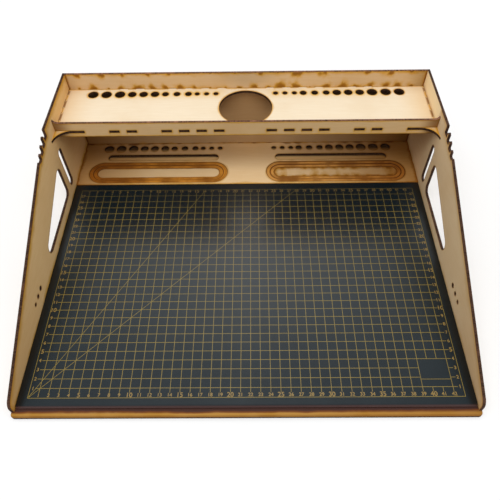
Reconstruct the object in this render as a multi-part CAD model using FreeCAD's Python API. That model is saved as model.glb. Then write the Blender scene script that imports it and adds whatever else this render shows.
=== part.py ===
import FreeCAD, Part
import math
import os

# A desktop hobby workstation: seven flat boards that slot together round a loose cutting mat.
# Lengths are in millimetres. X runs to the right, Y to the back and Z up.
# The origin is the middle of the base board's underside.

# Boards and fits
board = 3.0  # thickness of every cut board
tab_play = 0.1  # free play on each side of a tab in its slot
mat_play = 0.5  # free play between the mat and the boards beside and behind it

# Cutting mat
mat_width = 450.0
mat_depth = 300.0
mat_thick = 3.0
mat_corner_r = 3.0

# Base board
front_lip = 8.5  # bare base in front of the mat
base_corner_r = 4.0
foot_tab = 30.0  # tabs that stand the side panels and the rear panel in the base
side_foot_count = 4
rear_foot_count = 5

# Side panels
panel_height = 115.5  # from the base's top to the flat crown
crown_depth = 107.0  # from the rear edge forward to the knee
nose_setback = 5.5  # from the base's front edge to the nose
nose_height = 13.3  # where the slope would meet the nose's front
nose_r = 10.0
notch_count = 4
notch_first = 8.1  # from the knee to the first notch's front tip
notch_pitch = 10.1
notch_width = 7.0
rear_notch_depth = 6.6  # below the front tip
front_notch_depth = 2.3
notch_r = 1.5
window_sill = 15.0  # above the base's top
window_back = 109.5  # from the rear edge to the window
window_rail = 47.0  # between the slope and the window, measured square to them
window_r = 8.0
ruler_slot_back = 92.0  # from the rear edge to the slot's middle
ruler_slot_foot = 15.0  # above the base's top
ruler_slot_length = 57.0
ruler_slot_width = 11.0
peg_first = 110.5  # from the nose to the front hole
peg_pitch = 10.5
peg_height = 19.0  # above the base's top
peg_front_d = 3.6
peg_middle_d = 4.2
peg_rear_d = 5.0

# Tabs where the shelf and the deck pass into the side panels, counted forward from the rear panel
corner_tab_gap = 1.0
corner_tab = 12.0
end_tab = 17.0
end_tab_gap = 8.0

# Rear panel
wall_tab = 20.0  # tabs into the side panels
wall_tab_first = 25.0  # above the base's top
wall_tab_pitch = 40.0
wall_tab_count = 2

# Rear deck
deck_depth = 81.0
groove_length = 151.5
groove_width = 11.0
groove_x = 115.0
groove_back = 29.5  # from the rear panel to the groove's middle
tray_length = 186.0
tray_width = 38.5
tray_x = 119.0
tray_front = 22.7  # from the deck's front edge to the tray's middle
tray_rings = 3  # two terraces and the floor
tray_ring_run = 5.4
tray_ring_drop = 0.45

# Upper shelf and its fascia
shelf_clear = 87.5  # from the deck's top to the shelf's underside
shelf_depth = 77.5  # from the fascia to the rear panel
pot_hole_d = 65.0
ear_width = 20.0
ear_reach = 18.5
ear_neck = 34.5  # width of the shelf where it passes the fascia at each end
fascia_below = 5.5
fascia_above = 11.0
horn_width = 6.0
horn_height = 4.0
edge_tab = 11.8  # tabs along the shelf's front and rear edges
edge_tab_pitch = 20.7
edge_tab_places = (1.5, 2.5, 3.5, 4.5, 6.5, 7.5)  # pitches out from the middle

# Tool holes, the same in the shelf and the deck: four groups of three to each side of the middle
tool_row_back = 11.5  # from the rear panel to the row
tool_first_x = 37.5
tool_group_web = 3.9  # wood between one group's last hole and the next group's first
holes_in_group = 3
fine_d = 6.1
fine_pitch = 11.85
slim_d = 8.2
slim_pitch = 14.5
broad_d = 10.4
broad_pitch = 14.4
stout_d = 12.6
stout_pitch = 17.0

# Places that follow from the sizes
inner_half = mat_width / 2 + mat_play
outer_half = inner_half + board
base_depth = front_lip + mat_depth + mat_play + deck_depth + board
front_y = -base_depth / 2
mat_front = front_y + front_lip
deck_front = mat_front + mat_depth + mat_play
wall_y = deck_front + deck_depth
rear_y = wall_y + board
base_top = board
deck_top = base_top + board
crown_z = base_top + panel_height
shelf_z = deck_top + shelf_clear
shelf_top = shelf_z + board
fascia_back = wall_y - shelf_depth
fascia_front = fascia_back - board
nose_y = front_y + nose_setback
nose_z = base_top + nose_height
knee_y = rear_y - crown_depth
slope = (crown_z - nose_z) / (knee_y - nose_y)
edge_tab_xs = [side * place * edge_tab_pitch for side in (-1, 1) for place in edge_tab_places]
up_board = FreeCAD.Vector(0, 0, board)
across_board = FreeCAD.Vector(board, 0, 0)
back_board = FreeCAD.Vector(0, board, 0)


def lying(z):
    """Drawing plane of a board that lies flat: X across, Y up the page."""
    return lambda u, v: FreeCAD.Vector(u, v, z)


def side_on(x):
    """Drawing plane of a side panel: Y across, Z up the page."""
    return lambda u, v: FreeCAD.Vector(x, u, v)


def facing(y):
    """Drawing plane of a board that faces the user: X across, Z up the page."""
    return lambda u, v: FreeCAD.Vector(u, y, v)


def box(low, high):
    """A box between two opposite corners."""
    size = [high[i] - low[i] for i in range(3)]
    return Part.makeBox(size[0], size[1], size[2], FreeCAD.Vector(*low))


def rounded_edges(corners, plane):
    """Edges of a closed outline through (u, v, radius) corners, with an arc where the radius isn't zero."""
    stops = []
    for i, (u, v, radius) in enumerate(corners):
        here = plane(u, v)
        if radius == 0:
            stops.append([here])
            continue
        back = (plane(*corners[i - 1][:2]) - here).normalize()
        onward = (plane(*corners[(i + 1) % len(corners)][:2]) - here).normalize()
        half = back.getAngle(onward) / 2
        middle = (back + onward).normalize()
        reach = radius / math.tan(half)
        arc_depth = radius / math.sin(half) - radius
        stops.append([here + back * reach, here + middle * arc_depth, here + onward * reach])
    edges = []
    for i, stop in enumerate(stops):
        if len(stop) == 3:
            edges.append(Part.Arc(*stop).toShape())
        following = stops[(i + 1) % len(stops)]
        if stop[-1].distanceToPoint(following[0]) > 1e-6:
            edges.append(Part.LineSegment(stop[-1], following[0]).toShape())
    return edges


def prism(corners, plane, sweep):
    """A rounded outline swept straight into a solid."""
    wire = Part.Wire(rounded_edges(corners, plane))
    return Part.Face(wire).extrude(sweep)


def stadium(middle_u, middle_v, length_u, length_v):
    """Corners of a slot with half-round ends."""
    end_r = min(length_u, length_v) / 2
    half_u = length_u / 2
    half_v = length_v / 2
    turns = ((-1, -1), (1, -1), (1, 1), (-1, 1))
    return [(middle_u + a * half_u, middle_v + b * half_v, end_r) for a, b in turns]


def corner_web(corner_u, corner_v, run, rise, plane, sweep):
    """A web in a corner under a hollow arc that leaves the run side smoothly and ends on the rise side."""
    radius = (run ** 2 + rise ** 2) / (2 * abs(rise))
    half_turn = math.atan2(abs(run), radius - abs(rise)) / 2
    via_u = corner_u + run - math.copysign(radius * math.sin(half_turn), run)
    via_v = corner_v + math.copysign(radius * (1 - math.cos(half_turn)), rise)
    corner = plane(corner_u, corner_v)
    run_end = plane(corner_u + run, corner_v)
    rise_end = plane(corner_u, corner_v + rise)
    edges = [
        Part.LineSegment(rise_end, corner).toShape(),
        Part.LineSegment(corner, run_end).toShape(),
        Part.Arc(run_end, plane(via_u, via_v), rise_end).toShape(),
    ]
    return Part.Face(Part.Wire(edges)).extrude(sweep)


def joined(solid, added):
    """One clean solid from a board and its tabs."""
    return solid.multiFuse(added).removeSplitter()


def slope_z(y):
    """Height of a side panel's slope."""
    return nose_z + slope * (y - nose_y)


def evenly(low, high, count):
    """Middles of equal shares of a stretch."""
    share = (high - low) / count
    return [low + share * (i + 0.5) for i in range(count)]


def end_tab_spans():
    """Front and rear of each tab at the ends of the shelf and the deck."""
    rear = wall_y - corner_tab_gap
    spans = []
    for length in (corner_tab, end_tab, end_tab):
        spans.append((rear - length, rear))
        rear -= length + end_tab_gap
    return spans


def tool_holes():
    """Offset from the middle and diameter of each tool hole on one side."""
    groups = ((fine_d, fine_pitch), (slim_d, slim_pitch), (broad_d, broad_pitch), (stout_d, stout_pitch))
    holes = []
    x = tool_first_x
    for number, (diameter, pitch) in enumerate(groups):
        if number > 0:
            x = holes[-1][0] + holes[-1][1] / 2 + tool_group_web + diameter / 2
        for i in range(holes_in_group):
            holes.append((x + i * pitch, diameter))
    return holes


def tool_cutters(low_z, high_z):
    """Round cutters for the whole row of tool holes."""
    cutters = []
    for x, diameter in tool_holes():
        for side in (-1, 1):
            foot = FreeCAD.Vector(side * x, wall_y - tool_row_back, low_z)
            cutters.append(Part.makeCylinder(diameter / 2, high_z - low_z, foot))
    return cutters


def foot_spans(middles):
    """Both ends of each standing tab."""
    return [(middle - foot_tab / 2, middle + foot_tab / 2) for middle in middles]


def side_foot_spans():
    """Standing tabs of a side panel, along the mat."""
    return foot_spans(evenly(mat_front, mat_front + mat_depth, side_foot_count))


def rear_foot_spans():
    """Standing tabs of the rear panel."""
    return foot_spans(evenly(-inner_half, inner_half, rear_foot_count))


def wall_tab_spans():
    """Bottom and top of each rear panel tab that passes into a side panel."""
    middles = [base_top + wall_tab_first + i * wall_tab_pitch for i in range(wall_tab_count)]
    return [(middle - wall_tab / 2, middle + wall_tab / 2) for middle in middles]


def make_base_board():
    """The board that everything stands on, notched along its edges for the standing tabs."""
    corners = [
        (-outer_half, front_y, base_corner_r),
        (outer_half, front_y, base_corner_r),
        (outer_half, rear_y, 0),
        (-outer_half, rear_y, 0),
    ]
    solid = prism(corners, lying(0), up_board)
    cutters = []
    for low, high in side_foot_spans():
        for side in (-1, 1):
            near = side * (inner_half - tab_play)
            far = side * (outer_half + board)
            notch_low = (min(near, far), low - tab_play, -board)
            notch_high = (max(near, far), high + tab_play, base_top + board)
            cutters.append(box(notch_low, notch_high))
    for low, high in rear_foot_spans():
        notch_low = (low - tab_play, wall_y - tab_play, -board)
        notch_high = (high + tab_play, rear_y + board, base_top + board)
        cutters.append(box(notch_low, notch_high))
    return solid.cut(cutters)


def side_outline():
    """Outline of a side panel: nose, notched slope, knee and flat crown."""
    corners = [(nose_y, base_top, 0), (nose_y, nose_z, nose_r)]
    depth_step = (front_notch_depth - rear_notch_depth) / max(notch_count - 1, 1)
    for i in reversed(range(notch_count)):
        tip = knee_y - notch_first - i * notch_pitch
        rear = knee_y if i == 0 else tip + notch_width
        floor = slope_z(tip) - rear_notch_depth - i * depth_step
        corners += [(tip, slope_z(tip), 0), (tip, floor, notch_r), (rear, floor, notch_r)]
        if i > 0:
            corners.append((rear, slope_z(rear), 0))
    corners += [(knee_y, crown_z, 0), (rear_y, crown_z, 0), (rear_y, base_top, 0)]
    return corners


def side_window():
    """Three-cornered window whose long side runs along the slope."""
    sill = base_top + window_sill
    rear = rear_y - window_back
    rail_drop = window_rail * math.hypot(1, slope)
    front = nose_y + (sill + rail_drop - nose_z) / slope
    return [(front, sill, window_r), (rear, sill, window_r), (rear, slope_z(rear) - rail_drop, window_r)]


def make_side_panel(x):
    """A side panel whose left face is at x."""
    plane = side_on(x)
    feet = [box((x, low, 0), (x + board, high, base_top)) for low, high in side_foot_spans()]
    solid = joined(prism(side_outline(), plane, across_board), feet)
    cutters = [prism(side_window(), plane, across_board)]
    slot_middle = base_top + ruler_slot_foot + ruler_slot_length / 2
    slot = stadium(rear_y - ruler_slot_back, slot_middle, ruler_slot_width, ruler_slot_length)
    cutters.append(prism(slot, plane, across_board))
    for i, diameter in enumerate((peg_front_d, peg_middle_d, peg_rear_d)):
        middle = plane(nose_y + peg_first + i * peg_pitch, base_top + peg_height)
        cutters.append(Part.makeCylinder(diameter / 2, board, middle, across_board))
    for low, high in end_tab_spans():
        for floor, ceiling in ((base_top - board, deck_top), (shelf_z, shelf_top)):
            slot_low = (x, low - tab_play, floor - tab_play)
            slot_high = (x + board, high + tab_play, ceiling + tab_play)
            cutters.append(box(slot_low, slot_high))
    for low, high in wall_tab_spans():
        notch_low = (x, wall_y - tab_play, low - tab_play)
        notch_high = (x + board, rear_y + board, high + tab_play)
        cutters.append(box(notch_low, notch_high))
    return solid.cut(cutters)


def make_rear_panel():
    """The back wall, with feet in the base, tabs in the side panels and slots for the shelf."""
    solid = box((-inner_half, wall_y, base_top), (inner_half, rear_y, crown_z))
    tabs = [box((low, wall_y, 0), (high, rear_y, base_top)) for low, high in rear_foot_spans()]
    for low, high in wall_tab_spans():
        tabs.append(box((-outer_half, wall_y, low), (outer_half, rear_y, high)))
    return joined(solid, tabs).cut(shelf_slots(wall_y))


def shelf_slots(y):
    """Slots for the shelf's edge tabs in a board whose front face is at y."""
    cutters = []
    for x in edge_tab_xs:
        half = edge_tab / 2 + tab_play
        cutters.append(box((x - half, y, shelf_z - tab_play), (x + half, y + board, shelf_top + tab_play)))
    return cutters


def make_rear_deck():
    """The deck behind the mat, with tool sockets, two grooves and two stepped trays."""
    solid = box((-inner_half, deck_front, base_top), (inner_half, wall_y, deck_top))
    tabs = []
    for low, high in end_tab_spans():
        tabs.append(box((-outer_half, low, base_top), (outer_half, high, deck_top)))
    cutters = tool_cutters(base_top, deck_top)
    for side in (-1, 1):
        groove = stadium(side * groove_x, wall_y - groove_back, groove_length, groove_width)
        cutters.append(prism(groove, lying(base_top), up_board))
        for ring in range(tray_rings):
            inset = 2 * ring * tray_ring_run
            depth = (ring + 1) * tray_ring_drop
            middle_y = deck_front + tray_front
            step = stadium(side * tray_x, middle_y, tray_length - inset, tray_width - inset)
            cutters.append(prism(step, lying(deck_top - depth), up_board))
    return joined(solid, tabs).cut(cutters)


def make_upper_shelf():
    """The shelf, with a pot hole, tool holes, tabs on all sides and an ear past each end of the fascia."""
    solid = box((-inner_half, fascia_back, shelf_z), (inner_half, wall_y, shelf_top))
    added = []
    for low, high in end_tab_spans():
        added.append(box((-outer_half, low, shelf_z), (outer_half, high, shelf_top)))
    for x in edge_tab_xs:
        added.append(box((x - edge_tab / 2, fascia_front, shelf_z), (x + edge_tab / 2, rear_y, shelf_top)))
    for side in (-1, 1):
        end = side * inner_half
        neck = side * (inner_half - ear_neck)
        added.append(box((min(end, neck), fascia_front, shelf_z), (max(end, neck), fascia_back, shelf_top)))
        added.append(corner_web(end, fascia_front, -side * ear_width, -ear_reach, lying(shelf_z), up_board))
    cutters = tool_cutters(shelf_z, shelf_top)
    pot_middle = FreeCAD.Vector(0, wall_y - shelf_depth / 2, shelf_z)
    cutters.append(Part.makeCylinder(pot_hole_d / 2, board, pot_middle))
    return joined(solid, added).cut(cutters)


def make_shelf_fascia():
    """The strip along the shelf's front edge, forked at each end round the shelf's ear."""
    low_z = shelf_z - fascia_below
    high_z = shelf_top + fascia_above
    plane = facing(fascia_front)
    solid = box((-inner_half, fascia_front, low_z), (inner_half, fascia_back, high_z))
    horns = []
    cutters = shelf_slots(fascia_front)
    for side in (-1, 1):
        end = side * (inner_half + board)
        throat = side * (inner_half - ear_neck - tab_play)
        fork_low = (min(end, throat), fascia_front, shelf_z - tab_play)
        fork_high = (max(end, throat), fascia_back, shelf_top + tab_play)
        cutters.append(box(fork_low, fork_high))
        horn_run = -side * horn_width
        horns.append(corner_web(side * inner_half, high_z, horn_run, horn_height, plane, back_board))
    return joined(solid, horns).cut(cutters)


def make_cutting_mat():
    """The loose mat that lies on the base between the side panels."""
    half = mat_width / 2
    mat_rear = mat_front + mat_depth
    sides = ((-half, mat_front), (half, mat_front), (half, mat_rear), (-half, mat_rear))
    corners = [(u, v, mat_corner_r) for u, v in sides]
    return prism(corners, lying(base_top), FreeCAD.Vector(0, 0, mat_thick))


pieces = {
    "base_board": make_base_board(),
    "left_side_panel": make_side_panel(-outer_half),
    "right_side_panel": make_side_panel(inner_half),
    "rear_panel": make_rear_panel(),
    "rear_deck": make_rear_deck(),
    "upper_shelf": make_upper_shelf(),
    "shelf_fascia": make_shelf_fascia(),
    "cutting_mat": make_cutting_mat(),
}

os.makedirs("parts", exist_ok=True)
for name, shape in pieces.items():
    solid = shape.Solids[0]
    solid.exportStep("parts/" + name + ".step")
    print(name, len(shape.Solids), "solid", solid.isValid(), round(solid.Volume), "mm3")
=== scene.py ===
import math

import bmesh
import bpy
import numpy as np
from mathutils import Matrix, Vector
from mathutils.geometry import delaunay_2d_cdt
from mathutils.kdtree import KDTree


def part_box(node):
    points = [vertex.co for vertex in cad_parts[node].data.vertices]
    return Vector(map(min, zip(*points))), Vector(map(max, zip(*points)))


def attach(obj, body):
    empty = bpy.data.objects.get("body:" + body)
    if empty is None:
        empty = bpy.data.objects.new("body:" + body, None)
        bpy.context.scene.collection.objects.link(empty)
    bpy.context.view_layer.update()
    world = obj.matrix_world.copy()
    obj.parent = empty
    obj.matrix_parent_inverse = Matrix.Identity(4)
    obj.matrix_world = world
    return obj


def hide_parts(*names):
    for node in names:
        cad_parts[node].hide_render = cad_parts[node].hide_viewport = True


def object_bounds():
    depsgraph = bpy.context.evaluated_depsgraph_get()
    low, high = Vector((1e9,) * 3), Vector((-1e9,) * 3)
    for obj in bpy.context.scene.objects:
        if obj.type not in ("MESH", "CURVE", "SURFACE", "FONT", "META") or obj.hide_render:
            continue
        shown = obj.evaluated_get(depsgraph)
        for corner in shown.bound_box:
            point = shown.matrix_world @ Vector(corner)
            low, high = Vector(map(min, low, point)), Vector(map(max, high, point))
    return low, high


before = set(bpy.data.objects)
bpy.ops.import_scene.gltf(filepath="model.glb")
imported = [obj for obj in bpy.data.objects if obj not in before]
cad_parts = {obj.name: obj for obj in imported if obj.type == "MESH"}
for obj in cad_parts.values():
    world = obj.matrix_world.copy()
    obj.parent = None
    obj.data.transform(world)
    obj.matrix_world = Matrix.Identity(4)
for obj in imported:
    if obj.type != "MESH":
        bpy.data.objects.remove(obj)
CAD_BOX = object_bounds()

bl_info = {
    "name": "Hobby workstation",
    "version": (1, 0, 0),
    "blender": (4, 5, 0),
    "location": "3D View > Sidebar > Workstation",
    "description": "Finishes a laser-cut desktop workstation round its packed frame",
    "category": "Object",
}

# Lengths are in metres, X to the right, Y to the back, Z up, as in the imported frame
MM = 0.001
MERGE = 1e-6
SQUARE = 0.99  # how squarely a flat level faces along its board's thickness
ACROSS, BACK, UP = 0, 1, 2
PAGE_AXES = {ACROSS: (1, 2), BACK: (0, 2), UP: (0, 1)}
MAT_LOW, MAT_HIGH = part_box("cutting_mat")
MAT_MIDDLE = (MAT_LOW + MAT_HIGH) / 2
BASE_LOW, BASE_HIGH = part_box("base_board")
DECK_LOW, DECK_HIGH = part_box("rear_deck")
SHELF_LOW, SHELF_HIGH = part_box("upper_shelf")
FASCIA_LOW, FASCIA_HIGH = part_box("shelf_fascia")
WALL_LOW, WALL_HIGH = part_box("rear_panel")
SIDE_LOW, SIDE_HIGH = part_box("right_side_panel")
TOOL_ROW = DECK_HIGH.y - 11.5 * MM
GROOVE_REAR = DECK_HIGH.y - 24.2 * MM


def tint(red, green, blue):
    """Linear colour from 8-bit screen values."""
    return tuple(((c / 255 + 0.055) / 1.055) ** 2.4 for c in (red, green, blue))


def scaled(tone, *factors):
    """A colour times one factor, or times one for each channel."""
    return tuple(c * s for c, s in zip(tone, factors * 3 if len(factors) == 1 else factors))


# Tones of single marks, among them painted light and shade
# Painted light: the base under the deck, seen through the sockets and the groove, is made paler
BED = tint(250, 208, 142)
# Painted shadow in the sockets and along the groove's back wall
SOCKET_SHADE = tint(70, 50, 32)
# Painted highlight along the middle of the strip in front of the mat
STRIP_HIGHLIGHT = tint(196, 144, 54)
# Browner tone laid towards the front of the side panels
FRONT_TONE = tint(178, 126, 60)
# Painted light on the right panel's crown above the shelf
RIGHT_CROWN_LIGHT = tint(254, 232, 188)
# Painted shade at the rear panel's ends, in the corners by the side panels
WALL_END_SHADE = (0.6, 0.55, 0.38)
TRAY_PATCH = tint(228, 170, 92)
TRAY_HAZE = tint(160, 104, 24)
TRAY_FLARE = tint(190, 136, 40)
SHELF_END = tint(226, 180, 104)
TOOL_HAZE = tint(226, 184, 92)
# Painted shade at the fascia's ends, in the corners by the side panels
FASCIA_END_SHADE = tint(118, 78, 32)

# How much paler than char the edges of the side panels, and of the rear panel and the fascia, are
SIDE_LIFT, WALL_LIFT = 1.25, 3.6


# Settings that a user may change

def colour(name, about, screen):
    """A colour, from 8-bit screen values."""
    return bpy.props.FloatVectorProperty(
        name=name, description=about, subtype="COLOR", size=3, min=0, max=1, default=tint(*screen)
    )


def number(name, about, value, **kind):
    """A number of some kind."""
    return bpy.props.FloatProperty(name=name, description=about, default=value, **kind)


def length(name, about, millimetres):
    """A length."""
    return number(name, about, millimetres * MM, unit="LENGTH", precision=5, min=0)


def share(name, about, value):
    """A number from 0 to 1."""
    return number(name, about, value, subtype="FACTOR", min=0, max=1)


def angle(name, about, degrees):
    """An angle."""
    return number(name, about, math.radians(degrees), subtype="ANGLE")


def station(name, about, place):
    """A place in the room."""
    return bpy.props.FloatVectorProperty(
        name=name, description=about, subtype="XYZ", unit="LENGTH", size=3, default=place
    )


class BoardFinish(bpy.types.PropertyGroup):
    """Colours of the cut boards and how far the laser's smoke reaches over them."""

    # The boards are one wood. Their face colours differ from board to board partly as painted light: the
    # brightly lit shelf is paler and less saturated, and the shaded boards are browner and more saturated.
    shelf_face: colour("Shelf", "Face of the upper shelf", (236, 220, 193))
    deck_face: colour("Deck", "Face of the rear deck", (242, 209, 160))
    wall_face: colour("Rear panel", "Face of the rear panel", (215, 182, 138))
    fascia_face: colour("Fascia", "Face of the shelf's fascia", (216, 181, 132))
    left_face: colour("Left side", "Face of the left side panel", (238, 202, 146))
    right_face: colour("Right side", "Face of the right side panel", (236, 209, 168))
    base_face: colour("Base", "Face of the base board", (224, 188, 138))
    smoke_and_shade: colour("Smoke", "Haze of smoke beside a cut", (204, 149, 24))
    scorch: colour("Scorch", "Brown burn beside a cut", (132, 78, 12))
    char: colour("Char", "Charred wood on a cut edge", (74, 50, 37))
    soot_and_shade: colour("Soot", "Darkest streaks on a cut edge", (28, 19, 14))
    engraving: colour("Engraving", "Engraved terraces of the trays", (212, 142, 50))
    # Dark band on the base along the mat's front edge: partly a burn stain, partly painted contact shadow
    stain_and_shadow: colour("Stain", "Dark stain on the base along the mat", (108, 56, 20))
    strip: colour("Strip", "Smoked strip in front of the mat", (130, 86, 22))
    # Tone of the painted shade under the shelf, multiplied over the boards there
    bay: colour("Bay", "Light that the smoke under the shelf lets through", (165, 129, 50))
    smoke_reach: length("Smoke reach", "How far the haze reaches from a cut", 5.0)
    scorch_reach: length("Scorch reach", "How far the brown burn reaches from a cut", 1.2)
    char_reach: length("Char reach", "Width of the dark line along a cut", 0.35)
    rim_step: length("Rim step", "Longest mesh edge along a cut", 5.0)
    grid_step: length("Grid step", "Spacing of the mesh inside a board", 6.0)


class MatFinish(bpy.types.PropertyGroup):
    """Colours of the cutting mat and sizes of its print."""

    skin: colour("Skin", "Top of the mat", (12, 26, 32))
    core: colour("Core", "Cut edge of the mat", (64, 42, 39))
    ink: colour("Ink", "Printed lines", (133, 113, 43))
    numeral_ink: colour("Numeral ink", "Printed numbers", (138, 112, 52))
    cell: length("Cell", "Pitch of the printed grid", 10.0)
    columns: bpy.props.IntProperty(name="Columns", description="Cells across", min=1, default=43)
    rows: bpy.props.IntProperty(name="Rows", description="Cells front to back", min=1, default=28)
    line_width: length("Line width", "Width of a printed line", 0.58)
    ink_thick: length("Ink thickness", "How far the ink stands on the mat", 0.02)
    numeral: length("Numeral", "Height of a number", 5.0)
    fifth_numeral: length("Fifth numeral", "Height of every fifth number", 6.6)
    numeral_bold: length("Numeral weight", "How far a number's outline is spread", 0.2)
    rounding: length("Rounding", "Rounding of the mat's edges", 0.4)


class StageFinish(bpy.types.PropertyGroup):
    """Camera, light and floor."""

    camera_place: station("Camera", "Where the camera stands", (0.01047, -0.36973, 0.4996))
    camera_yaw: angle("Yaw", "Camera's turn to the right", -0.95)
    camera_pitch: angle("Pitch", "Camera's tilt down", 52.935)
    camera_roll: angle("Roll", "Camera's roll", -1.18)
    camera_lens: number("Lens", "Focal length on a 36 mm sensor", 37.397, subtype="DISTANCE_CAMERA")
    lamp_place: station("Lamp", "Where the soft light hangs", (-0.1, -0.55, 1.45))
    lamp_width: length("Lamp width", "Width of the soft light", 1300.0)
    lamp_depth: length("Lamp depth", "Depth of the soft light", 600.0)
    lamp_power: number("Lamp power", "Watts", 9.5, min=0)
    fill: number("Fill", "Strength of the light overhead", 0.94, min=0)
    horizon: share("Horizon", "Share of the overhead light that comes from the horizon", 0.3)
    zenith: share("Zenith", "Brightness straight up, as a glossy surface shows it", 0.2)
    floor: colour("Floor", "Plain floor", (205, 205, 205))
    floor_glow: share("Floor glow", "White that the camera sees before any light falls on the floor", 0.28)
    floor_far: share("Floor far glow", "White that is added to the floor far from the object", 0.36)
    floor_spread: length("Floor spread", "How far from the object that white is full", 2400.0)
    floor_answer: share("Floor answer", "Share of the light on the floor that the camera sees", 0.6)


# Nodes

SOCKETS = {
    float: "NodeSocketFloat", int: "NodeSocketInt", tuple: "NodeSocketVector",
    type(None): "NodeSocketMaterial",
}
NOWHERE = (0.0, 0.0, 0.0)


def feed(socket, value):
    """Links a wire to an input, or sets a plain value on it."""
    if isinstance(value, Wire):
        socket.id_data.links.new(value.socket, socket)
    else:
        socket.default_value = value


def node(tree, kind, inputs=None, **settings):
    """A node with its settings made and its inputs fed."""
    made = tree.nodes.new(kind)
    for key, value in settings.items():
        setattr(made, key, value)
    for key, value in (inputs or {}).items():
        feed(made.inputs[key], value)
    return made


def wired(tree, kind, inputs=None, output=0, **settings):
    """One output of a new node, as a wire."""
    return Wire(node(tree, kind, inputs, **settings).outputs[output])


def sign_for(operation):
    """Meaning of a sign between wires: a Math node."""
    return lambda wire, *others: wire.reckon(operation, *others)


class Wire:
    """A value in a node tree. Signs make Math nodes: | takes the larger of two, < and > give 0 or 1."""

    __add__, __sub__, __mul__ = sign_for("ADD"), sign_for("SUBTRACT"), sign_for("MULTIPLY")
    __truediv__, __mod__, __or__ = sign_for("DIVIDE"), sign_for("MODULO"), sign_for("MAXIMUM")
    __lt__, __gt__, __abs__ = sign_for("LESS_THAN"), sign_for("GREATER_THAN"), sign_for("ABSOLUTE")

    def __init__(self, socket):
        self.socket = socket
        self.tree = socket.id_data

    def reckon(self, operation, *others):
        """Outcome of a Math node."""
        return wired(self.tree, "ShaderNodeMath", dict(enumerate((self, *others))), operation=operation)

    def __rsub__(self, other):
        return wired(self.tree, "ShaderNodeMath", {0: other, 1: self}, operation="SUBTRACT")

    def graded(self, low, high, to_low=0.0, to_high=1.0, shape="SMOOTHSTEP"):
        """The value taken from one range to another."""
        inputs = {"Value": self, "From Min": low, "From Max": high, "To Min": to_low, "To Max": to_high}
        return wired(self.tree, "ShaderNodeMapRange", inputs, "Result", interpolation_type=shape)

    def axes(self):
        """X, Y and Z of a place."""
        return [Wire(socket) for socket in node(self.tree, "ShaderNodeSeparateXYZ", {0: self}).outputs]

    def noise(self, scale, detail=2.0, rough=0.5):
        """Value of a Noise texture at a place."""
        inputs = {"Vector": self, "Scale": scale, "Detail": detail, "Roughness": rough}
        return wired(self.tree, "ShaderNodeTexNoise", inputs, "Fac")

    def vector(self, operation, other):
        """Outcome of a Vector Math node with another vector, or with a number to scale by."""
        inputs = {0: self, "Scale" if operation == "SCALE" else 1: other}
        output = "Value" if operation == "DISTANCE" else 0
        return wired(self.tree, "ShaderNodeVectorMath", inputs, output, operation=operation)


def combined(tree, **axes):
    """A vector from its X, Y and Z."""
    return wired(tree, "ShaderNodeCombineXYZ", axes)


def labelled(key):
    """Name of a socket, from the name of a value."""
    return key.replace("_", " ").title()


def new_group(name, kind, inputs, outputs, output_type):
    """A node group with named sockets: its tree, its inputs as wires and its outputs."""
    tree = bpy.data.node_groups.new(name, kind)
    for label in outputs:
        tree.interface.new_socket(name=label, in_out="OUTPUT", socket_type=output_type)
    for key, default in inputs.items():
        socket = tree.interface.new_socket(
            name=labelled(key), in_out="INPUT", socket_type=SOCKETS[type(default)]
        )
        if default is not None:
            socket.default_value = default
    given = tree.nodes.new("NodeGroupInput").outputs
    wires = {key: Wire(given[labelled(key)]) for key in inputs}
    return tree, wires, tree.nodes.new("NodeGroupOutput").inputs


def shader_group(*outputs, **inputs):
    """Makes a function the recipe of a shader node group with a place and other inputs.

    Calling the function puts the group next to a place's own nodes and gives its outputs."""
    def wrap(recipe):
        def put(place, **values):
            group = bpy.data.node_groups.get(recipe.__name__)
            if group is None:
                sockets = {"place": NOWHERE, **inputs}
                group, given, out = new_group(
                    recipe.__name__, "ShaderNodeTree", sockets, outputs, "NodeSocketFloat"
                )
                results = recipe(**given)
                for label, wire in zip(outputs, results if isinstance(results, tuple) else (results,)):
                    feed(out[label], wire)
            fed = {labelled(key): value for key, value in {"place": place, **values}.items()}
            made = node(place.tree, "ShaderNodeGroup", fed, node_tree=group)
            wires = [Wire(made.outputs[label]) for label in outputs]
            return wires if len(wires) > 1 else wires[0]
        return put
    return wrap


@shader_group("Streak", "Mottle", "Height", stretch=(1.0, 1.0, 1.0), mottle_scale=14.0)
def wood_fibre(place, stretch, mottle_scale):
    """Streaks along the grain, broad mottling and a height for bump."""
    streak = place.vector("MULTIPLY", stretch).noise(1.0, 4.0, 0.6)
    speck = place.noise(2600.0, 1.0)
    return streak.graded(0.3, 0.7), place.noise(mottle_scale, 3.0, 0.55), speck * 0.5 + streak


@shader_group("Mask", cut=0.0, reach=2 * MM, patch_scale=60.0, patchiness=0.5)
def scorch_mask(place, cut, reach, patch_scale, patchiness):
    """A burn that fades away from a cut and swells and shrinks in patches along it."""
    patch = place.noise(patch_scale, 3.0, 0.6) - 0.5
    swell = patch * patchiness * 5.0 + 1.0
    return cut.graded(0.0, (swell | 0.08) * reach, 1.0, 0.0)


@shader_group("Mask", along=0.0, away=0.0, pitch=27.5 * MM, width=4 * MM, reach=4 * MM)
def burn_flares(place, along, away, pitch, width, reach):
    """Separate burns at even steps along an edge, each fading away from the edge."""
    phase = along / pitch + (place.noise(38.0) - 0.5)
    off = abs(phase.reckon("FRACT") - 0.5)
    turn = wired(
        place.tree, "ShaderNodeTexWhiteNoise", {"W": phase.reckon("FLOOR")}, "Value", noise_dimensions="1D"
    )
    size = turn.graded(0.0, 1.0, 0.3, 1.35, "LINEAR") * place.noise(105.0).graded(0.3, 0.7, 0.65, 1.3)
    beside = (off * pitch).graded(0.0, width * size, 1.0, 0.0)
    return beside * away.graded(0.0, reach * size, 1.0, 0.0)


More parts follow.
